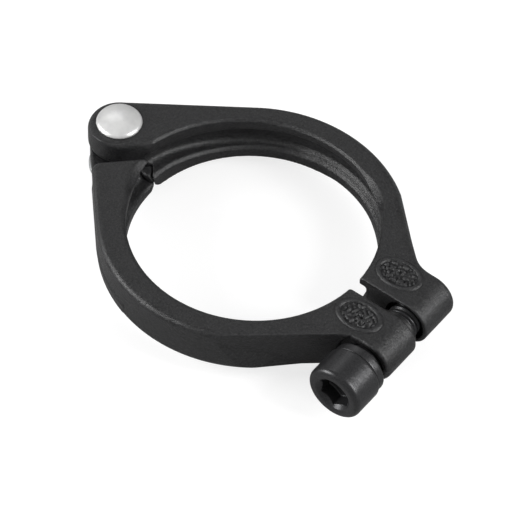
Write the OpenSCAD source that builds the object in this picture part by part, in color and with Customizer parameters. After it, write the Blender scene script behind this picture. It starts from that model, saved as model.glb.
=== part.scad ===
// Two-jaw hinged clamp collar with a captive socket head bolt.
// The frame has its origin at the bore centre, at mid height. +Z runs along
// the bore, +X points from the bore to the bolt ears and the hinge is on the
// -X side. The near jaw is on the -Y side and the far jaw on the +Y side.
// The bolt lies along Y, with its head on the near jaw's side.

/* [Collar] */
// Bore diameter across the two gripping lips
bore_d = 42; // [38:0.5:52]
// Height of the collar along the bore
height = 8.4; // [7.4:0.2:10.4]
// Radial thickness of the ring, from a lip to the outer wall
wall = 4.5; // [4.2:0.1:7]
// Radius of the rounding along the ring's outer edges
edge_r = 1.6; // [0.8:0.1:3]
// Height of each gripping lip
lip_h = 2.5; // [1.8:0.1:2.8]
// Depth of the groove between the lips
groove_depth = 1.4; // [0.8:0.1:2]
// Width of the small chamfer on each lip's outer edge
lip_chamfer = 0.4; // [0.2:0.1:0.6]

/* [Bolt ears] */
// Open gap between the two ears
ear_gap = 2.7; // [2.2:0.1:3.4]
// Offset of the gap's middle towards the near jaw
gap_shift = 0.4; // [0:0.1:0.5]
// Thickness of the near ear along the bolt
near_ear_w = 7.8; // [7:0.1:8.6]
// Thickness of the far ear along the bolt
far_ear_w = 8.3; // [7:0.1:9]
// Distance from the bore centre to the bolt axis
bolt_x = 30.1; // [29:0.1:31]
// Distance from the bore centre to the axis of the ears' half-round ends
ear_end_x = 30.4; // [29.6:0.1:31.2]
// Angle on the ring where the straight flank to the ear begins
flank_angle = 46; // [40:1:50]
// Distance from the bore centre, along the gap, to the flank's outer corner
flank_x = 26.6; // [26:0.1:27.4]
// Clearance hole through the near ear
bolt_hole_d = 6.6; // [6.4:0.1:6.8]
// Bolt passage through the far ear, open enough for the jaw to swing off
far_hole_d = 7.4; // [7.2:0.1:7.6]

/* [Badge] */
// Length of the raised oval on each ear
badge_l = 8.2; // [6:0.2:8.4]
// Width of the raised oval on each ear
badge_w = 5.6; // [4:0.2:6]
// Width of the oval's rim
badge_rim = 0.5; // [0.4:0.1:1]
// Height of the oval's rim above the ear's top
badge_h = 0.3; // [0.1:0.05:0.5]

/* [Hinge] */
// Hinge axis, measured from the bore centre away from the ears
hinge_x = 30.6; // [30:0.1:32]
// Hinge axis offset towards the far jaw
hinge_y = 2.7; // [2:0.1:3.4]
// Radius of the far jaw's hinge ear around the hinge axis
upper_r = 5.3; // [5.2:0.1:5.5]
// Radius of the near jaw's hinge ear around the hinge axis
lower_r = 5.1; // [4.6:0.1:5.2]
// Thickness of the far jaw's hinge ear, which lies on top of the near jaw's
upper_t = 5.2; // [4.6:0.1:5.6]
// Height of the round pad under the near jaw's hinge ear
pad_h = 1.4; // [0.4:0.1:1.8]
// Diameter of the washer under the rivet's tail
tail_washer_d = 10.5; // [9:0.1:10.6]
// Thickness of the washer under the rivet's tail
tail_washer_t = 1.0; // [0.8:0.1:1.4]
// Diameter of the rivet's shank
rivet_d = 4.5; // [4:0.1:5]
// Diameter of the rivet's head
rivet_head_d = 7.9; // [7:0.1:9]
// Height of the rivet's domed head
rivet_head_h = 1.5; // [1.1:0.1:2]
// Diameter of the rivet's formed tail
rivet_tail_d = 6.8; // [6:0.1:7.6]
// Height of the rivet's formed tail
rivet_tail_h = 1.0; // [0.7:0.1:1.4]
// Distance from the hinge axis to the near jaw's shoulder
shoulder = 8.2; // [7.8:0.1:8.8]

/* [Bolt] */
// Nominal thread diameter
thread_d = 6.0; // [5.9:0.05:6]
// Length under the head
bolt_l = 20; // [18:0.5:20.5]
// Head diameter
head_d = 10.0; // [9.6:0.1:10.2]
// Head length
head_l = 6.0; // [5.6:0.1:6.4]
// Width across the socket's flats
key_w = 5.0; // [4:0.5:5]
// Axial play between the near ear and the spring washer
bolt_play = 1.2; // [0.8:0.1:1.4]
// Spring washer outer diameter
washer_d = 9.4; // [9:0.1:10]
// Spring washer thickness
washer_t = 1.6; // [1.2:0.1:1.6]
// Retaining ring outer diameter
ring_d = 7.8; // [7.4:0.1:8.2]
// Retaining ring thickness
ring_t = 0.8; // [0.6:0.1:0.9]

/* [Hidden] */
$fn = 72;

bore_r = bore_d / 2;
outer_r = bore_r + wall;
half_h = height / 2;
near_face = ear_gap / 2 + gap_shift;
far_face = ear_gap / 2 - gap_shift;
hinge = [-hinge_x, hinge_y];
hinge_dist = norm(hinge);
hinge_dir = atan2(hinge_y, -hinge_x);
// The two hinge ears lap each other, with a little room between them
axial_play = 0.1;
running = 0.05;
lap_z = half_h - upper_t;
pad_z = -half_h - pad_h;
swing_room = 0.45;
// Direction from the hinge axis to the near jaw's shoulder
shoulder_dir = -45;
web_in = 3.1;
// End of the near jaw's lips, and the nose and front corner of the far jaw
near_end_y = -0.7;
far_nose = [-bore_r, -0.3];
far_front = [-bore_r - 2.1, 2.4];
reach = 60;
near_out = near_face + near_ear_w;
washer_y = -near_out - bolt_play;
head_y = washer_y - washer_t;
ring_groove_d = 5.4;
badge_x = bore_r + 4.6;
badge_y = 5.5;

function polar(r, a) = [r * cos(a), r * sin(a)];

// ---- shapes that both jaws share ----

// Outer half of the ring's section, with rounded outer edges
module ring_section() {
    translate([bore_r - 3, -half_h]) square([wall + 3 - edge_r, height]);
    translate([bore_r - 3, -half_h + edge_r]) square([wall + 3, height - 2 * edge_r]);
    for (side = [-1, 1])
        translate([outer_r - edge_r, side * (half_h - edge_r)]) circle(r = edge_r);
}

module ring_body() {
    rotate_extrude() ring_section();
}

// The bore with its two lips, the groove between them and the edge chamfers
module bore_cut() {
    cylinder(h = height + 2, r = bore_r, center = true);
    cylinder(h = height - 2 * lip_h, r = bore_r + groove_depth, center = true);
    for (side = [0, 1])
        mirror([0, 0, side])
            translate([0, 0, half_h - lip_chamfer])
                cylinder(h = lip_chamfer * 2, r1 = bore_r, r2 = bore_r + lip_chamfer * 2);
}

// Ear with a half-round end and the straight flank that joins it to the ring.
// It is drawn on the +Y side, from the gap's face at y = face.
module ear_body(face, thick) {
    out = face + thick;
    translate([0, 0, -half_h])
        linear_extrude(height)
            polygon([
                [0, face],
                [ear_end_x, face],
                [ear_end_x, out],
                [flank_x, out],
                polar(outer_r - 0.3, flank_angle)
            ]);
    translate([ear_end_x, face, 0])
        rotate([-90, 0, 0]) cylinder(h = thick, r = half_h);
}

// Plain oval rim, drawn on the +Y side
module badge() {
    translate([badge_x, badge_y, half_h - 0.5]) {
        difference() {
            scale([badge_l / badge_w, 1, 1]) cylinder(h = badge_h + 0.5, d = badge_w);
            translate([0, 0, 0.5])
                scale([(badge_l - 2 * badge_rim) / (badge_w - 2 * badge_rim), 1, 1])
                    cylinder(h = badge_h + 0.5, d = badge_w - 2 * badge_rim);
        }
    }
}

// ---- near jaw: lower ear at the hinge, bolt head ear ----

// Everything beyond the shoulder line, seen from the hinge axis
module beyond_shoulder() {
    translate(hinge) rotate(shoulder_dir)
        translate([shoulder, -reach]) square([2 * reach, 2 * reach]);
}

// Direction in which the common tangent of the ring and a hinge ear touches both.
// side is 1 for the far jaw and -1 for the near jaw.
function tangent_at(ear_r, side) = hinge_dir - side * acos((outer_r - ear_r) / hinge_dist);

// Outline of the near jaw between the ring and its round hinge ear
module near_outline() {
    at = tangent_at(lower_r, -1);
    translate(hinge) circle(r = lower_r);
    polygon([[0, near_end_y], polar(outer_r, at), hinge + polar(lower_r, at), hinge]);
}

module near_arm() {
    translate([0, 0, -half_h])
        linear_extrude(height)
            intersection() {
                near_outline();
                beyond_shoulder();
                translate([-reach, near_end_y - reach]) square([2 * reach, reach]);
            }
}

// Lower hinge ear, with a web to the shoulder and a pad underneath
module lower_ear() {
    translate([0, 0, -half_h])
        linear_extrude(lap_z - axial_play + half_h)
            difference() {
                union() {
                    near_outline();
                    translate(hinge) rotate(shoulder_dir)
                        translate([0, -lower_r]) square([shoulder + 2, lower_r + web_in]);
                }
                // Room for the far jaw's side of the hinge
                translate(hinge) rotate(shoulder_dir)
                    translate([lower_r * sin(acos(web_in / lower_r)), web_in]) square(reach);
            }
    translate([hinge[0], hinge[1], pad_z]) cylinder(h = pad_h + 0.5, r = lower_r);
}

module near_jaw() {
    color("dimgray")
        difference() {
            union() {
                intersection() {
                    ring_body();
                    translate([-reach, near_end_y - reach, -reach / 2]) cube([2 * reach, reach, reach]);
                    translate([0, 0, -reach / 2]) linear_extrude(reach) beyond_shoulder();
                }
                near_arm();
                lower_ear();
                mirror([0, 1, 0]) ear_body(near_face, near_ear_w);
                mirror([0, 1, 0]) badge();
            }
            bore_cut();
            // Ear gap, from the bore outwards
            translate([0, -near_face, -reach / 2]) cube([reach, reach, reach]);
            translate([bolt_x, 0, 0])
                rotate([90, 0, 0]) cylinder(h = reach, d = bolt_hole_d);
            // Round seat for the washer, cut into the foot of the flank
            translate([bolt_x, -near_out, 0])
                rotate([90, 0, 0]) cylinder(h = reach, d = washer_d + 0.8);
            translate([hinge[0], hinge[1], -reach / 2]) cylinder(h = reach, d = rivet_d);
        }
}

// ---- far jaw: upper ear at the hinge, threaded ear at the bolt ----

module far_arm() {
    at = tangent_at(upper_r, 1);
    // Tangent point on the ear's circle, seen from the jaw's front corner
    front = far_front - hinge;
    front_at = atan2(front[1], front[0]) - acos(upper_r / norm(front));
    translate([0, 0, -half_h])
        linear_extrude(height) {
            translate(hinge) circle(r = upper_r);
            polygon([
                hinge + polar(upper_r, front_at),
                far_front,
                far_nose,
                [-bore_r / 2, bore_r / 4],
                polar(outer_r, at),
                hinge + polar(upper_r, at)
            ]);
        }
}

// Room under the upper ear for the near jaw's ear, through the whole swing
module lap_cut() {
    room = lower_r + swing_room;
    along = tangent_at(upper_r, 1) - 90;
    translate([hinge[0], hinge[1], lap_z - reach]) {
        cylinder(h = reach, r = room);
        rotate(along) translate([room / 2 - reach, 0, 0]) cube([reach, reach, reach]);
        rotate(shoulder_dir)
            translate([0, web_in + swing_room - reach, 0]) cube([reach, reach, reach]);
    }
}

module far_jaw() {
    color("dimgray")
        difference() {
            union() {
                intersection() {
                    ring_body();
                    translate([far_front[0], 0, -reach / 2]) cube([2 * reach, reach, reach]);
                }
                far_arm();
                ear_body(far_face, far_ear_w);
                badge();
            }
            bore_cut();
            lap_cut();
            // Ear gap, from the bore outwards
            translate([0, far_face - reach, -reach / 2]) cube([reach, reach, reach]);
            translate([bolt_x, 0, 0])
                rotate([-90, 0, 0]) cylinder(h = reach, d = far_hole_d);
            translate([hinge[0], hinge[1], -reach / 2])
                cylinder(h = reach, d = rivet_d + 2 * running);
        }
}

// ---- hinge rivet: shank with a domed head at each end ----

module dome(base_r, rise) {
    ball_r = (base_r * base_r + rise * rise) / (2 * rise);
    rotate_extrude()
        intersection() {
            translate([0, rise - ball_r]) circle(r = ball_r, $fn = 180);
            square([base_r, rise]);
        }
}

module hinge_rivet() {
    rim = 0.4;
    tail_z = pad_z - tail_washer_t;
    color("silver")
        translate([hinge[0], hinge[1], 0]) {
            translate([0, 0, tail_z]) cylinder(h = half_h - tail_z, d = rivet_d);
            translate([0, 0, half_h]) {
                cylinder(h = rim, d = rivet_head_d);
                translate([0, 0, rim]) dome(rivet_head_d / 2, rivet_head_h - rim);
            }
            translate([0, 0, tail_z]) mirror([0, 0, 1]) dome(rivet_tail_d / 2, rivet_tail_h);
        }
}

module tail_washer() {
    color("gray")
        translate([hinge[0], hinge[1], pad_z - tail_washer_t])
            difference() {
                cylinder(h = tail_washer_t, d = tail_washer_d);
                translate([0, 0, -1]) cylinder(h = tail_washer_t + 2, d = rivet_d);
            }
}

// ---- bolt group ----

module clamp_bolt() {
    chamfer = 0.5;
    socket_l = head_l / 2;
    key_d = key_w / cos(30);
    color("slategray")
        translate([bolt_x, head_y, 0])
            rotate([-90, 0, 0])
                difference() {
                    union() {
                        translate([0, 0, -head_l])
                            cylinder(h = chamfer, r1 = head_d / 2 - chamfer, r2 = head_d / 2);
                        translate([0, 0, chamfer - head_l]) cylinder(h = head_l - chamfer, d = head_d);
                        cylinder(h = bolt_l - chamfer, d = thread_d);
                        translate([0, 0, bolt_l - chamfer])
                            cylinder(h = chamfer, r1 = thread_d / 2, r2 = thread_d / 2 - chamfer);
                    }
                    translate([0, 0, -head_l - 1]) cylinder(h = socket_l + 1, d = key_d, $fn = 6);
                    // Groove for the retaining ring
                    translate([0, 0, -near_face - head_y])
                        difference() {
                            cylinder(h = ring_t, d = thread_d + 1);
                            translate([0, 0, -1]) cylinder(h = ring_t + 2, d = ring_groove_d);
                        }
                }
}

// Split ring with a narrow slit, on the side away from the collar's top
module split_ring(outer, inner, thick, slit) {
    difference() {
        cylinder(h = thick, d = outer);
        translate([0, 0, -1]) cylinder(h = thick + 2, d = inner);
        translate([0, outer / 2, thick / 2])
            rotate([0, 20, 0]) cube([slit, outer, 3 * thick], center = true);
    }
}

module spring_washer() {
    color("slategray")
        translate([bolt_x, head_y, 0])
            rotate([-90, 0, 0]) split_ring(washer_d, thread_d + 2 * running, washer_t, 0.6);
}

module retaining_ring() {
    color("darkgray")
        translate([bolt_x, -near_face, 0])
            rotate([-90, 0, 0]) split_ring(ring_d, ring_groove_d, ring_t, 1.6);
}

near_jaw();
far_jaw();
hinge_rivet();
tail_washer();
clamp_bolt();
spring_washer();
retaining_ring();
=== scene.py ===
"""Looks of the two-jaw hinged clamp collar.

The cast jaws and the turned fasteners are described by signed distance functions in
millimetres, in the CAD frame, and turned into smooth closed meshes. Each mesh stands for
its CAD node and rides on that node's body.
"""

import math

import bpy
import numpy as np
from mathutils import Matrix, Vector


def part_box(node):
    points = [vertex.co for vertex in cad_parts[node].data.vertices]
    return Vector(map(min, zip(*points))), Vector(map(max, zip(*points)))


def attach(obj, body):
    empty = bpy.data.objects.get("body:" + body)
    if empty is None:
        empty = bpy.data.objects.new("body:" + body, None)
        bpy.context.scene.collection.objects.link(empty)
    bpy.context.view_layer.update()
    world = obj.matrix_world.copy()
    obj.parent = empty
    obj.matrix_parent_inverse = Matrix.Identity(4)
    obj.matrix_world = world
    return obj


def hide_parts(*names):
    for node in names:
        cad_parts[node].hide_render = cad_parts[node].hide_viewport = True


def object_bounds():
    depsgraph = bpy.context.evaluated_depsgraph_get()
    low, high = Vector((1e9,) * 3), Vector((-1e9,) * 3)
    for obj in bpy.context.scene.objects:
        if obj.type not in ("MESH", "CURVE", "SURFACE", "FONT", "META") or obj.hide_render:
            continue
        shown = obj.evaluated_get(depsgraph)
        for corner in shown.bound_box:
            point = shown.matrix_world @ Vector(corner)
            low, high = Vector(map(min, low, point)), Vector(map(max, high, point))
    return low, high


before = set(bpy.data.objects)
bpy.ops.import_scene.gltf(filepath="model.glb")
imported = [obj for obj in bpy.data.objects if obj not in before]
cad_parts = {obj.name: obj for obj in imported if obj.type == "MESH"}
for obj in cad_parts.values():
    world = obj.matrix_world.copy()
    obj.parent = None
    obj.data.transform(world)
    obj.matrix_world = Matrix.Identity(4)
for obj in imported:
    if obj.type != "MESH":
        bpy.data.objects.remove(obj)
cad_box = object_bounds()

MM = 0.001

# ---- sizes in millimetres, the CAD's unless a comment says otherwise ----

# Ring and bore
BORE_R = 21.0
OUTER_R = 25.5
HALF_H = 4.2
GROOVE_R = 22.4
LOW_LIP_Z = -1.7

# Bolt ears
EAR_END_X = 30.4
BOLT_X = 30.1
NEAR_FACE, NEAR_OUT = -1.75, -9.55
FAR_FACE, FAR_OUT = 0.95, 9.25
BOLT_HOLE_R, FAR_HOLE_R, SEAT_R = 3.3, 3.7, 5.1
BADGE_X, BADGE_Y = 25.6, 5.5
BADGE_HALF_L, BADGE_HALF_W = 4.1, 2.8

# Hinge
HINGE = (-30.6, 2.7)
UPPER_R, LOWER_R = 5.3, 5.1
LAP_Z = -1.0
PAD_Z = -5.6
TAIL_Z = -6.6
SHOULDER = 8.2
SHOULDER_DIR = -45
ARM_DIR = 36.1
WEB_IN = 3.1
SWING_ROOM = 0.45
RIVET_R, RIVET_HEAD_R, RIVET_TAIL_R = 2.25, 3.95, 3.4
TAIL_WASHER_R = 5.25
# The end of the near jaw's lips, a little closer to the far jaw than in the CAD, and a plane
# that the far jaw's nose stays behind
NEAR_END, FAR_END = -0.55, -0.6
# The far jaw's two front faces, towards its ear and towards its nose, meet at a corner
EAR_FRONT_N, NOSE_FRONT_N = (0.677, -0.736), (-0.789, -0.614)
FRONT_CORNER = (-23.1, 2.4)
# The gap between the near jaw's web and the far jaw
WEB_GAP = 0.15

# Bolt
HEAD_Y, WASHER_Y, WASHER_END = -18.35, -12.35, -10.75
BOLT_END = 7.65
HEAD_R, SHANK_R, KEY_HALF, SOCKET_L = 5.0, 3.0, 2.5, 3.0
THREAD_PITCH, THREAD_DEPTH, THREAD_START = 1.0, 0.34, -0.75
RING_Y, RING_GROOVE_R, RING_GROOVE_HALF = -1.35, 2.7, 0.41

# The straight flanks from the ring to the bolt ears, and the near jaw's sloping lower face
NEAR_FLANK_DIR, NEAR_FLANK_AT = -50, 24.3
FAR_FLANK_DIR, FAR_FLANK_AT = 46, 25.35
LOW_N, LOW_AT = (0.697, -0.683, 0.218), 23.45

HALF_SQRT2 = math.sqrt(0.5)
# A distance well inside, where a face doesn't apply
FAR_INSIDE = -9


# ---- distance function helpers ----

def smin(a, b, k):
    """Minimum with a fillet about k wide."""
    h = np.clip(0.5 + 0.5 * (b - a) / k, 0.0, 1.0)
    return b * (1 - h) + a * h - k * h * (1 - h)


def smax(a, b, k):
    """Maximum with a rounding about k wide."""
    return -smin(-a, -b, k)


def step(t):
    """Smooth rise from 0 to 1."""
    t = np.clip(t, 0.0, 1.0)
    return t * t * (3 - 2 * t)


def round_max(a, b, r):
    """Intersection of two half spaces with an edge rounded to radius r."""
    qa, qb = a + r, b + r
    return np.minimum(np.maximum(qa, qb), 0) + np.hypot(np.maximum(qa, 0), np.maximum(qb, 0)) - r


def extrude(d, z, low, high, r_low, r_high):
    """The outline d from low to high, with its lower and upper edges rounded."""
    mid, half = (low + high) / 2, (high - low) / 2
    return round_max(d, np.abs(z - mid) - half, np.where(z > mid, r_high, r_low))


def capsule(x, y, r1, centre2, r2):
    """Hull of a circle r1 at the origin and a circle r2 at centre2."""
    length = math.hypot(*centre2)
    ux, uy = centre2[0] / length, centre2[1] / length
    along = x * ux + y * uy
    across = np.abs(-x * uy + y * ux)
    b = (r1 - r2) / length
    a = math.sqrt(1 - b * b)
    k = -b * across + a * along
    line = a * across + b * along - r1
    d = np.where(k < 0, np.hypot(along, across) - r1, line)
    return np.where(k > a * length, np.hypot(along - length, across) - r2, d)


def at_hinge(x, y, angle):
    """Coordinates from the hinge axis, along the direction angle and across it."""
    c, s = direction(angle)
    dx, dy = x - HINGE[0], y - HINGE[1]
    return dx * c + dy * s, -dx * s + dy * c


def from_hinge(x, y):
    return np.hypot(x - HINGE[0], y - HINGE[1])


def direction(angle):
    return math.cos(math.radians(angle)), math.sin(math.radians(angle))


def fade_out(flank, past):
    """Lets a flank's face leave the ring where past is positive."""
    return np.where(past > 0, flank - 4 * step(past / 6), flank)


def end_limit(x, z):
    """Top and bottom faces, with the ears' half-round ends."""
    return np.where(x > EAR_END_X, np.hypot(x - EAR_END_X, z) - HALF_H, np.abs(z) - HALF_H)


def pebbles(x, y):
    """A plain irregular grain, 0 to 1, for the badges' fields."""
    a = np.sin(3.3 * x + 1.4 * np.sin(2.3 * y + 0.6)) * np.sin(3.7 * y + 1.6 * np.sin(2.6 * x + 1.9))
    b = np.sin(6.1 * x - 2.2 * y + 0.8) * np.sin(5.3 * y + 2.7 * x + 2.1)
    return step((a + 0.6 * b + 0.1) / 0.35)


def badge_relief(x, y, side):
    """Height of the oval badge above the ear's top."""
    u = (x - BADGE_X) / BADGE_HALF_L
    v = (side * y - BADGE_Y) / BADGE_HALF_W
    r = np.sqrt(u * u + v * v) + 1e-9
    away = (r - 1) * 3.3
    rim = step((0.42 - np.abs(away + 0.25)) / 0.25)
    field = step((-away - 0.6) / 0.3) * (pebbles(x * side, y) * 0.3 - 0.04)
    return 0.28 * rim + field


def bore_cut(x, y, z, rise, top_edge, low_edge, top_z, low_z, lip_edge, deeper=0.0):
    """Everything inside the lips, the groove between them and the edges' chamfers.
    rise is how far the upper lip falls back from the bore. The groove runs from low_z to
    top_z, and deeper makes it deeper. The edge values are the chamfers' widths."""
    r = np.hypot(x, y)
    top_r = BORE_R + rise
    groove_r = GROOVE_R + 0.7 * rise + deeper
    mid = (top_z + low_z) / 2
    lips = np.minimum(r - BORE_R, smax(r - top_r, -z, 0.2))
    groove = smax(
        r - groove_r, np.abs(z - mid) - (top_z - low_z) / 2, np.where(z < mid, 1.5, 0.6)
    )
    upper = ((r - top_r) - (z - HALF_H) - top_edge) * HALF_SQRT2
    lower = ((r - BORE_R) + (z + HALF_H) - low_edge) * HALF_SQRT2
    sill = ((r - BORE_R) - (z - low_z) - lip_edge) * HALF_SQRT2
    sill = np.maximum(sill, np.maximum(z - mid, r - groove_r))
    cut = smin(smin(lips, groove, 0.2), sill, 0.15)
    return np.minimum(np.minimum(cut, upper), lower)


def recess(z):
    """How far the far jaw's nose falls back towards its underside, with the near lips after it."""
    return 0.4 * step((-0.6 - z) / 2.6)


def far_front(x, y, z):
    """Distance to the far jaw's two front faces at the hinge, positive outside both."""
    ear_side = (x - HINGE[0]) * EAR_FRONT_N[0] + (y - HINGE[1]) * EAR_FRONT_N[1] - UPPER_R
    nose_x, nose_y = x - FRONT_CORNER[0], y - FRONT_CORNER[1]
    nose_side = nose_x * NOSE_FRONT_N[0] + nose_y * NOSE_FRONT_N[1] + recess(z)
    return np.minimum(ear_side, nose_side)


# ---- near jaw ----

NEAR_N = direction(NEAR_FLANK_DIR)


def near_arm(x, y, ear_r):
    """Ring and hinge ear. The ring's outer wall stands out further on the hinge side."""
    out_x, out_y, fuller = 0.4, -0.3, 0.2
    centre = (HINGE[0] + out_x, HINGE[1] + out_y)
    return capsule(x + out_x, y + out_y, OUTER_R + fuller, centre, ear_r)


def near_jaw(p):
    x, y, z = p[:, 0], p[:, 1], p[:, 2]
    theta = np.degrees(np.arctan2(y, x))
    u, v = at_hinge(x, y, SHOULDER_DIR)
    hinge_r = from_hinge(x, y)
    arm = smax(near_arm(x, y, LOWER_R + 0.1), SHOULDER - u, 1.7)
    lip_end = y - NEAR_END - recess(z)
    wedge = x * NEAR_N[1] - y * NEAR_N[0]
    outline = np.minimum(arm, wedge)
    flank = np.minimum(
        x * NEAR_N[0] + y * NEAR_N[1] - NEAR_FLANK_AT,
        x * LOW_N[0] + y * LOW_N[1] + z * LOW_N[2] - LOW_AT,
    )
    side = smin(fade_out(flank, -2 - x), NEAR_OUT - y, 1.6)
    # the flank's top edge is sharper than its lower one, and rounder on the ear
    edge = np.where(z > 0, 0.35 + 0.45 * step((x - 24.5) / 2.5), 1.2)
    upper = np.maximum(
        extrude(outline, z, -HALF_H, HALF_H, 1.5, 1.05), round_max(side, end_limit(x, z), edge)
    )
    upper = upper - np.where(z > 2, badge_relief(x, y, -1), 0.0)
    # the face at the ear gap, and the end of the lips at the hinge
    upper = smax(upper, np.where(x > 0, y - NEAR_FACE, lip_end), 0.3)

    # the web also fills the corner in front of the far jaw
    web = np.minimum(v - WEB_IN, np.maximum(5.6 - u, WEB_GAP - far_front(x, y, z)))
    pad_d = hinge_r - LOWER_R + 0.1
    lower_d = np.minimum(smax(near_arm(x, y, LOWER_R - 0.15), web, 0.3), pad_d)
    lower_d = np.maximum(lower_d, x + 8)
    lower = extrude(lower_d, z, -HALF_H, LAP_Z - 0.1, 1.3, 0.35)
    lower = np.minimum(lower, extrude(pad_d, z, PAD_Z, -3.2, 0.3, 0.1))
    body = smin(upper, lower, 0.02 + 0.6 * step((z + 2.5) / 1.2))

    # the lips' last stretch before the hinge
    end = step((-150 - theta) / 22)
    tip = step((-160 - theta) / 16)
    cut = bore_cut(
        x, y, z,
        rise=0.3 * end,
        top_edge=0.45 + 1.0 * end,
        low_edge=0.2,
        top_z=1.9 + 0.5 * end + 0.6 * tip,
        low_z=LOW_LIP_Z - 0.8 * tip,
        lip_edge=0.4,
        deeper=1.3 * tip,
    )
    body = smax(body, -cut, 0.2)
    foot = (x < 0) & (x > -22.8) & (lip_end < 0)
    body = np.maximum(body, np.where(foot, round_max(lip_end, -HALF_H - z, 0.5), FAR_INSIDE))
    bolt_r = np.hypot(x - BOLT_X, z)
    body = smax(body, BOLT_HOLE_R - bolt_r, 0.3)
    body = smax(body, -np.maximum(bolt_r - SEAT_R, y - NEAR_OUT), 0.25)
    return np.maximum(body, RIVET_R + 0.03 - hinge_r)


# ---- far jaw ----

FAR_N = direction(FAR_FLANK_DIR)


def far_jaw(p):
    x, y, z = p[:, 0], p[:, 1], p[:, 2]
    theta = np.degrees(np.arctan2(y, x))
    hinge_r = from_hinge(x, y)
    arm = smax(capsule(x, y, OUTER_R, HINGE, UPPER_R), far_front(x, y, z), 0.3)
    wedge = y * FAR_N[0] - x * FAR_N[1]
    outline = np.minimum(arm, wedge)
    side = smin(x * FAR_N[0] + y * FAR_N[1] - FAR_FLANK_AT, y - FAR_OUT, 1.6)
    side = fade_out(side, 2 - x)
    edge = 1.6 - 0.6 * step((x - 22) / 4)
    body = np.maximum(
        extrude(outline, z, -HALF_H, HALF_H, 1.6, 1.5), round_max(side, end_limit(x, z), edge)
    )
    body = body - np.where(z > 2, badge_relief(x, y, 1), 0.0)
    face = np.where(x > 0, FAR_FACE - y, np.where(x > -24, FAR_END - y, FAR_INSIDE))
    body = smax(body, face, 0.4)

    # room under the upper ear for the near jaw's ear and web
    u, v = at_hinge(x, y, SHOULDER_DIR)
    a, b = at_hinge(x, y, ARM_DIR)
    room = LOWER_R + SWING_ROOM
    lap = np.minimum(hinge_r - room, np.maximum(a - room / 2, -b))
    lap = np.minimum(lap, np.maximum(-u, v - WEB_IN - SWING_ROOM))
    body = smax(body, -np.maximum(lap, z - LAP_Z), 0.3)
    # the upper ear's rounded lower edge, on the side away from the arm
    under = round_max(hinge_r - UPPER_R, LAP_Z - z, 0.3 + 1.1 * step(-a / 1.5))
    body = np.maximum(body, np.where(a < 0, under, FAR_INSIDE))

    # the lips change their width and depth from the bolt ear to the hinge
    to_hinge = np.clip((theta - 92) / 85, 0, 1.1)
    cut = bore_cut(
        x, y, z,
        rise=2.6 * to_hinge ** 1.5,
        top_edge=0.5 + 0.6 * step((70 - theta) / 12) * step((theta - 42) / 8),
        low_edge=0.05 + 0.3 * step((theta - 46) / 14) * step((98 - theta) / 14),
        top_z=2.6 - 1.05 * step((theta - 85) / 75),
        low_z=LOW_LIP_Z - 0.25 * step((theta - 96) / 10) + 1.1 * step((theta - 138) / 42),
        lip_edge=0.55,
    )
    body = smax(body, -cut, 0.16)
    body = smax(body, FAR_HOLE_R - np.hypot(x - BOLT_X, z), 0.3)
    return np.maximum(body, RIVET_R + 0.05 - hinge_r)


# ---- rivet, washers and bolt ----

def hinge_rivet(p):
    """A shank with a domed head and a domed tail, each cut from a large ball."""
    r, z = from_hinge(p[:, 0], p[:, 1]), p[:, 2]
    head_ball = np.sqrt(r * r + (z + 1.94) ** 2) - 7.64
    head = round_max(round_max(r - RIVET_HEAD_R, head_ball, 0.45), HALF_H - z, 0.08)
    tail_ball = np.sqrt(r * r + (z + 1.32) ** 2) - 6.28
    tail = round_max(round_max(r - RIVET_TAIL_R, tail_ball, 0.3), z - TAIL_Z, 0.05)
    shank = np.maximum(r - RIVET_R, np.abs(z + 1.2) - 5.6)
    return np.minimum(np.minimum(head, tail), shank)


def tail_washer(p):
    r, z = from_hinge(p[:, 0], p[:, 1]), p[:, 2]
    d = extrude(r - TAIL_WASHER_R, z, TAIL_Z, PAD_Z, 0.25, 0.15)
    return smax(d, RIVET_R + 0.03 - r, 0.15)


def clamp_bolt(p):
    """Socket head cap screw along Y, threaded past the retaining ring's groove."""
    x, y, z = p[:, 0] - BOLT_X, p[:, 1], p[:, 2]
    r = np.hypot(x, z)
    head = extrude(r - HEAD_R, y, HEAD_Y, WASHER_Y, 0.95, 0.45)
    flats = [np.abs(x * c + z * s) for c, s in map(direction, (0, 60, 120))]
    hexagon = np.maximum(np.maximum(flats[0], flats[1]), flats[2]) - KEY_HALF
    bottom = y - (HEAD_Y + SOCKET_L) + np.maximum(0, r - 1.0) * 0.35 - 0.3
    lead_in = (r - 2.95 - (HEAD_Y + 0.35 - y)) * HALF_SQRT2
    head = smax(head, -np.minimum(smax(hexagon, bottom, 0.15), lead_in), 0.18)

    turn = y / THREAD_PITCH + np.arctan2(z, x) / (2 * math.pi)
    off_crest = np.abs(turn - np.round(turn)) * 2
    depth = THREAD_DEPTH * step((y - THREAD_START) / 0.5)
    thread_r = SHANK_R - depth * step(1 - off_crest * 1.1)
    shank = extrude(r - thread_r, y, WASHER_Y - 1, BOLT_END, 0.05, 0.6)
    groove = np.maximum(RING_GROOVE_R - r, np.abs(y - RING_Y) - RING_GROOVE_HALF)
    shank = smax(shank, -groove, 0.08)
    return smin(head, shank, 0.3)


def split_ring(p, y0, y1, outer, inner, slit, lean, edge):
    """Ring round the bolt from y0 to y1, with a slit on its lower side that leans in degrees."""
    x, y, z = p[:, 0] - BOLT_X, p[:, 1], p[:, 2]
    r = np.hypot(x, z)
    d = extrude(r - outer, y, y0, y1, edge, edge)
    d = smax(d, inner - r, edge * 0.8)
    c, s = direction(lean)
    cut = np.abs(x * c + (y - (y0 + y1) / 2) * s) - slit / 2
    return smax(d, -np.maximum(cut, z), 0.12)


def spring_washer(p):
    return split_ring(
        p, WASHER_Y, WASHER_END, outer=4.7, inner=3.07, slit=0.6, lean=20, edge=0.3
    )


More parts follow.
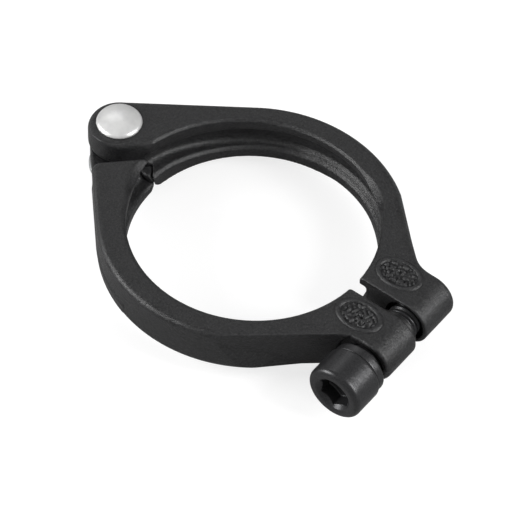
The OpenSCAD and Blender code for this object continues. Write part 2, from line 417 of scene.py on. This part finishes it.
def retaining_ring(p):
    return split_ring(
        p, NEAR_FACE, NEAR_FACE + 0.8, outer=3.9, inner=2.72, slit=1.6, lean=0, edge=0.12
    )


# ---- from a distance function to a mesh ----

def gradient(f, v):
    g = np.empty_like(v)
    e = 0.015
    for axis in range(3):
        off = np.zeros(3)
        off[axis] = e
        g[:, axis] = (f(v + off) - f(v - off)) / (2 * e)
    return g


def on_surface(f, v, rounds, most):
    """Moves points onto the surface f = 0, by at most a given distance per round."""
    for _ in range(rounds):
        g = gradient(f, v)
        move = g * (f(v) / np.maximum((g * g).sum(1), 0.05))[:, None]
        size = np.linalg.norm(move, axis=1)
        v = v - move * np.minimum(1, most / np.maximum(size, 1e-9))[:, None]
    return v


def surface_net(f, low, high, cell):
    """One vertex in each grid cell that the surface crosses, joined by quads."""
    count = [int(math.ceil((h - l) / cell)) + 1 for l, h in zip(low, high)]
    axes = [low[i] + cell * np.arange(count[i]) for i in range(3)]
    grid = np.empty(count, np.float32)
    for i in range(0, count[0], 24):
        block = np.stack(np.meshgrid(axes[0][i:i + 24], axes[1], axes[2], indexing="ij"), -1)
        grid[i:i + 24] = f(block.reshape(-1, 3)).reshape(block.shape[:3])
    inside = grid < 0
    total = np.zeros([c - 1 for c in count], np.int8)
    corners = [(i, j, k) for i in (0, 1) for j in (0, 1) for k in (0, 1)]
    for i, j, k in corners:
        total += inside[i:count[0] - 1 + i, j:count[1] - 1 + j, k:count[2] - 1 + k]
    cells = np.argwhere((total > 0) & (total < 8))
    number = np.full(total.shape, -1, np.int64)
    number[tuple(cells.T)] = np.arange(len(cells))
    place = np.zeros((len(cells), 3))
    hits = np.zeros(len(cells))
    for a in corners:
        for b in corners:
            d = np.array(b) - np.array(a)
            if d.min() < 0 or d.sum() != 1:
                continue
            fa = grid[tuple((cells + a).T)].astype(float)
            fb = grid[tuple((cells + b).T)].astype(float)
            cross = (fa < 0) != (fb < 0)
            t = np.where(cross, fa / np.where(cross, fa - fb, 1), 0)
            place[cross] += (np.array(a) + t[:, None] * d)[cross]
            hits[cross] += 1
    verts = low + cell * (cells + place / hits[:, None])
    quads = []
    for axis in range(3):
        first, second = [slice(1, -1)] * 3, [slice(1, -1)] * 3
        first[axis], second[axis] = slice(0, -1), slice(1, None)
        a, b = inside[tuple(first)], inside[tuple(second)]
        e = np.argwhere(a != b)
        out = a[tuple(e.T)]
        u1, u2 = np.eye(3, dtype=int)[(axis + 1) % 3], np.eye(3, dtype=int)[(axis + 2) % 3]
        q = np.stack([number[tuple((e + o).T)] for o in (0 * u1, u1, u1 + u2, u2)], 1)
        q[~out] = q[~out][:, ::-1]
        quads.append(q)
    return verts, np.concatenate(quads)


def relax(f, verts, quads, cell, rounds):
    """Evens out the vertices along the surface."""
    ends = np.concatenate([quads[:, [i, (i + 1) % 4]] for i in range(4)])
    ends = np.concatenate([ends, ends[:, ::-1]])
    n = len(verts)
    degree = np.bincount(ends[:, 0], minlength=n)
    verts = on_surface(f, verts, 2, cell * 0.6)
    for _ in range(rounds):
        mean = np.stack(
            [np.bincount(ends[:, 0], verts[ends[:, 1], i], minlength=n) for i in range(3)], 1
        ) / degree[:, None]
        verts = on_surface(f, verts * 0.5 + mean * 0.5, 2, cell * 0.5)
    return verts


def build(name, f, node, body, material, cell):
    """Meshes f in cells of the given size and puts the mesh in the CAD node's place."""
    margin = 0.7
    low, high = (np.array(corner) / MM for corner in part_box(node))
    verts, quads = surface_net(f, low - margin, high + margin, cell)
    verts = relax(f, verts, quads, cell, 2)
    verts = np.clip(verts, low, high)
    mesh = bpy.data.meshes.new(name)
    mesh.vertices.add(len(verts))
    mesh.vertices.foreach_set("co", (verts * MM).astype(np.float32).ravel())
    mesh.loops.add(quads.size)
    mesh.loops.foreach_set("vertex_index", quads.ravel().astype(np.int32))
    mesh.polygons.add(len(quads))
    mesh.polygons.foreach_set("loop_start", np.arange(0, quads.size, 4, dtype=np.int32))
    mesh.polygons.foreach_set("use_smooth", np.ones(len(quads), bool))
    mesh.update(calc_edges=True)
    mesh.validate()
    obj = bpy.data.objects.new(name, mesh)
    bpy.context.scene.collection.objects.link(obj)
    obj.data.materials.append(material)
    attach(obj, body)
    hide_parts(node)
    return obj


# ---- materials ----

class Nodes:
    """A material under construction, with its textures laid out in millimetres."""

    def __init__(self, name):
        self.material = bpy.data.materials.new(name)
        self.material.use_nodes = True
        self.tree = self.material.node_tree
        self.tree.nodes.clear()
        self.out = self.add("ShaderNodeOutputMaterial")
        self.bsdf = self.add("ShaderNodeBsdfPrincipled")
        self.link(self.bsdf.outputs[0], self.out.inputs["Surface"])
        coord = self.add("ShaderNodeTexCoord")
        self.scale = self.add("ShaderNodeVectorMath", operation="SCALE")
        self.scale.inputs["Scale"].default_value = 1 / MM
        self.link(coord.outputs["Object"], self.scale.inputs[0])

    def add(self, kind, **props):
        node = self.tree.nodes.new(kind)
        for key, value in props.items():
            setattr(node, key, value)
        return node

    def link(self, a, b):
        self.tree.links.new(a, b)

    def noise(self, scale, detail=3.0, rough=0.5, stretch=None):
        node = self.add("ShaderNodeTexNoise")
        node.inputs["Scale"].default_value = scale
        node.inputs["Detail"].default_value = detail
        node.inputs["Roughness"].default_value = rough
        source = self.scale.outputs[0]
        if stretch:
            mapping = self.add("ShaderNodeMapping")
            mapping.inputs["Scale"].default_value = stretch
            self.link(source, mapping.inputs["Vector"])
            source = mapping.outputs[0]
        self.link(source, node.inputs["Vector"])
        return node.outputs["Fac"]

    def remap(self, value, low, high, a=0.3, b=0.7):
        node = self.add("ShaderNodeMapRange")
        node.inputs["From Min"].default_value = a
        node.inputs["From Max"].default_value = b
        node.inputs["To Min"].default_value = low
        node.inputs["To Max"].default_value = high
        self.link(value, node.inputs["Value"])
        return node.outputs[0]

    def maths(self, op, a, b):
        node = self.add("ShaderNodeMath", operation=op)
        for socket, value in zip(node.inputs, (a, b)):
            if isinstance(value, (int, float)):
                socket.default_value = value
            else:
                self.link(value, socket)
        return node.outputs[0]

    def mix(self, factor, a, b):
        node = self.add("ShaderNodeMix", data_type="RGBA")
        self.link(factor, node.inputs["Factor"])
        for name, value in (("A", a), ("B", b)):
            socket = [s for s in node.inputs if s.name == name and s.type == "RGBA"][0]
            if isinstance(value, tuple):
                socket.default_value = value + (1,)
            else:
                self.link(value, socket)
        return [s for s in node.outputs if s.type == "RGBA"][0]

    def bump(self, layers):
        last = None
        for height, strength, distance in layers:
            node = self.add("ShaderNodeBump")
            node.inputs["Strength"].default_value = strength
            node.inputs["Distance"].default_value = distance * MM
            self.link(height, node.inputs["Height"])
            if last:
                self.link(last, node.inputs["Normal"])
            last = node.outputs[0]
        self.link(last, self.bsdf.inputs["Normal"])

    def edges(self, low, high):
        """From low on flat parts to high where the surface is convex, as on rounded edges."""
        geometry = self.add("ShaderNodeNewGeometry")
        return self.remap(geometry.outputs["Pointiness"], low, high, 0.515, 0.58)

    def painted_hollow_shade(self):
        """1 on flat and convex parts, falling in sharp hollows: painted shade that dims the
        reflection there.
        """
        geometry = self.add("ShaderNodeNewGeometry")
        return self.remap(geometry.outputs["Pointiness"], 0.15, 1.0, 0.43, 0.495)

    def set(self, name, value):
        socket = self.bsdf.inputs[name]
        if isinstance(value, (int, float)):
            socket.default_value = value
        else:
            self.link(value, socket)


def powder_coat():
    n = Nodes("Black_powder_coat")
    grain = n.noise(2.6, 5, 0.7)
    cloud = n.noise(0.35, 3, 0.5)
    speck = n.noise(6.5, 2, 0.5)
    dark = n.mix(n.remap(cloud, 0, 1), (0.003, 0.003, 0.0033), (0.008, 0.008, 0.0085))
    grained = n.mix(n.remap(grain, 0, 0.9, 0.4, 0.68), dark, (0.027, 0.027, 0.028))
    specked = n.mix(n.remap(speck, 0, 0.8, 0.66, 0.74), grained, (0.09, 0.09, 0.09))
    # painted highlight: convex rounded edges made lighter, patchy with the grain
    painted_edge_highlight = n.mix(n.maths("MULTIPLY", n.edges(0.0, 1.0), n.remap(grain, 0.2, 0.8)), specked,
                 (0.035, 0.035, 0.037))
    n.set("Base Color", painted_edge_highlight)
    n.set("Roughness", n.maths("ADD", n.remap(grain, 0.3, 0.44), n.remap(cloud, -0.03, 0.04)))
    # painted shade: reflection dimmed in sharp hollows
    n.set("Specular IOR Level", n.maths("MULTIPLY", n.painted_hollow_shade(), 0.42))
    dimple = n.noise(2.2, 2, 0.5)
    n.bump([(cloud, 0.35, 0.3), (dimple, 0.6, 0.06), (grain, 1.0, 0.1), (speck, 0.6, 0.03)])
    return n.material


def black_oxide():
    n = Nodes("Black_oxide_steel")
    grain = n.noise(7.0, 4, 0.6)
    turned = n.noise(1.0, 2, 0.5, stretch=(0.4, 9.0, 0.4))
    n.set("Base Color", n.mix(n.remap(grain, 0, 1), (0.014, 0.014, 0.015), (0.05, 0.05, 0.052)))
    n.set("Metallic", 0.5)
    n.set("Specular IOR Level", 0.4)
    n.set("Roughness", n.maths("ADD", n.remap(grain, 0.27, 0.36), n.remap(turned, -0.02, 0.03)))
    dent = n.noise(1.6, 2, 0.5)
    n.bump([(dent, 0.5, 0.06), (turned, 0.2, 0.02), (grain, 0.35, 0.018)])
    return n.material


def bright_rivet():
    n = Nodes("Satin_rivet_steel")
    grain = n.noise(4.0, 5, 0.65)
    scratch = n.noise(1.0, 3, 0.6, stretch=(0.5, 11.0, 0.5))
    cloud = n.noise(0.5, 2, 0.5)
    n.set("Base Color", n.mix(n.remap(cloud, 0, 1), (0.66, 0.66, 0.66), (0.8, 0.8, 0.79)))
    n.set("Metallic", 0.55)
    n.set("Roughness", n.maths("ADD", n.remap(grain, 0.3, 0.42), n.remap(scratch, -0.05, 0.06)))
    n.bump([(cloud, 0.15, 0.15), (grain, 0.25, 0.02), (scratch, 0.25, 0.01)])
    return n.material


def plated(name, dark, light, rough):
    n = Nodes(name)
    grain = n.noise(6.0, 4, 0.6)
    cloud = n.noise(0.8, 2, 0.5)
    n.set("Base Color", n.mix(n.remap(cloud, 0, 1), dark, light))
    n.set("Metallic", 0.85)
    n.set("Roughness", n.remap(grain, rough - 0.05, rough + 0.07))
    n.bump([(cloud, 0.15, 0.1), (grain, 0.3, 0.015)])
    return n.material


coat = powder_coat()
oxide = black_oxide()
build("near_jaw_casting", near_jaw, "near_jaw", "near_half", coat, cell=0.2)
build("far_jaw_casting", far_jaw, "far_jaw", "far_half", coat, cell=0.2)
build("hinge_rivet_turned", hinge_rivet, "hinge_rivet", "near_half", bright_rivet(),
      cell=0.14)
build("tail_washer_pressed", tail_washer, "tail_washer", "near_half",
      plated("Zinc_plate", (0.42, 0.43, 0.44), (0.56, 0.57, 0.57), 0.38),
      cell=0.16)
build("clamp_bolt_turned", clamp_bolt, "clamp_bolt", "bolt", oxide, cell=0.13)
build("spring_washer_coiled", spring_washer, "spring_washer", "lock_washer", oxide,
      cell=0.12)
build("retaining_ring_pressed", retaining_ring, "retaining_ring", "bolt",
      plated("Ring_spring_steel", (0.02, 0.02, 0.02), (0.04, 0.04, 0.04), 0.4),
      cell=0.1)


# ---- floor, light and camera ----

SIDE_LIGHT, MID_LIGHT, TOP_LIGHT = 0.4, 0.32, 0.4
# Azimuth, elevation and roll in degrees, distance in metres, focal length in millimetres
PHOTO_ANGLES = (35.56, 50.406, 2.587)
PHOTO_DISTANCE = 0.525
PHOTO_LENS = 224.06
# How far the origin lies from the picture's middle, as a share of the distance
PHOTO_SHIFT = (-0.000716, 0.0062825)


def light_path(tree):
    return tree.nodes.new("ShaderNodeLightPath").outputs["Is Camera Ray"]


def make_floor():
    """Pale floor. The camera sees it glow evenly, and the object sees it dimmer."""
    size, z = 3.0, cad_box[0][2]
    mesh = bpy.data.meshes.new("floor")
    mesh.from_pydata(
        [(-size, -size, z), (size, -size, z), (size, size, z), (-size, size, z)], [], [(0, 1, 2, 3)]
    )
    floor = bpy.data.objects.new("floor", mesh)
    bpy.context.scene.collection.objects.link(floor)
    n = Nodes("Pale_floor")
    soft = n.noise(0.004, 2, 0.5)
    n.set("Base Color", n.mix(n.remap(soft, 0, 1), (0.36,) * 3, (0.38,) * 3))
    n.set("Roughness", 0.9)
    n.set("Specular IOR Level", 0.0)
    glow = n.add("ShaderNodeEmission")
    glow.inputs["Strength"].default_value = 0.72
    both = n.add("ShaderNodeAddShader")
    n.link(glow.outputs[0], both.inputs[0])
    n.link(n.bsdf.outputs[0], both.inputs[1])
    pick = n.add("ShaderNodeMixShader")
    n.link(light_path(n.tree), pick.inputs[0])
    n.link(n.bsdf.outputs[0], pick.inputs[1])
    n.link(both.outputs[0], pick.inputs[2])
    n.link(pick.outputs[0], n.out.inputs["Surface"])
    floor.data.materials.append(n.material)


def area_light(name, place, size, radiance):
    """A softbox that faces the origin."""
    data = bpy.data.lights.new(name, "AREA")
    data.shape = "RECTANGLE"
    data.size, data.size_y = size
    data.energy = radiance * math.pi * size[0] * size[1]
    light = bpy.data.objects.new(name, data)
    light.location = place
    light.rotation_euler = (-Vector(place)).to_track_quat("-Z", "Y").to_euler()
    bpy.context.scene.collection.objects.link(light)


def make_world():
    """White studio, brighter round the sides than overhead, and dimmer below."""
    world = bpy.data.worlds.new("Soft_studio")
    bpy.context.scene.world = world
    world.use_nodes = True
    tree = world.node_tree
    background = tree.nodes["Background"]
    coord = tree.nodes.new("ShaderNodeTexCoord")
    split = tree.nodes.new("ShaderNodeSeparateXYZ")
    ramp = tree.nodes.new("ShaderNodeValToRGB")
    tree.links.new(coord.outputs["Generated"], split.inputs[0])
    tree.links.new(split.outputs["Z"], ramp.inputs[0])
    stops = [(0.0, SIDE_LIGHT), (0.45, MID_LIGHT), (1.0, TOP_LIGHT)]
    ramp.color_ramp.elements.remove(ramp.color_ramp.elements[0])
    for i, (place, value) in enumerate(stops):
        element = ramp.color_ramp.elements[0] if i == 0 else ramp.color_ramp.elements.new(place)
        element.position = place
        element.color = (value, value, value, 1)
    pick = tree.nodes.new("ShaderNodeMix")
    pick.data_type = "RGBA"
    sockets = [s for s in pick.inputs if s.type == "RGBA"]
    tree.links.new(light_path(tree), pick.inputs["Factor"])
    tree.links.new(ramp.outputs[0], sockets[0])
    sockets[1].default_value = (1, 1, 1, 1)
    tree.links.new([s for s in pick.outputs if s.type == "RGBA"][0], background.inputs["Color"])


def make_camera():
    """The photo's view."""
    azimuth, elevation, roll = (math.radians(a) for a in PHOTO_ANGLES)
    back = np.array([math.sin(azimuth) * math.cos(elevation),
                     -math.cos(azimuth) * math.cos(elevation), math.sin(elevation)])
    level = np.array([math.cos(azimuth), math.sin(azimuth), 0])
    up0 = np.cross(back, level)
    right = math.cos(roll) * level + math.sin(roll) * up0
    up = -math.sin(roll) * level + math.cos(roll) * up0
    place = PHOTO_DISTANCE * (back - PHOTO_SHIFT[0] * right - PHOTO_SHIFT[1] * up)
    data = bpy.data.cameras.new("photo_view")
    data.sensor_width = 36
    data.lens = PHOTO_LENS
    data.clip_start, data.clip_end = 0.01, 20
    camera = bpy.data.objects.new("photo_view", data)
    matrix = Matrix.Identity(4)
    for i in range(3):
        matrix[i][0], matrix[i][1], matrix[i][2], matrix[i][3] = right[i], up[i], back[i], place[i]
    camera.matrix_world = matrix
    bpy.context.scene.collection.objects.link(camera)
    bpy.context.scene.camera = camera


make_floor()
make_world()
area_light("right_softbox", (0.33, 0.095, 0.225), size=(0.155, 0.235), radiance=13.0)
area_light("left_softbox", (-0.22, -0.2, 0.13), size=(0.17, 0.15), radiance=13.5)
area_light("back_left_softbox", (-0.5, 0.4, 0.62), size=(0.4, 0.4), radiance=1.2)
make_camera()
bpy.context.scene.view_settings.view_transform = "Standard"
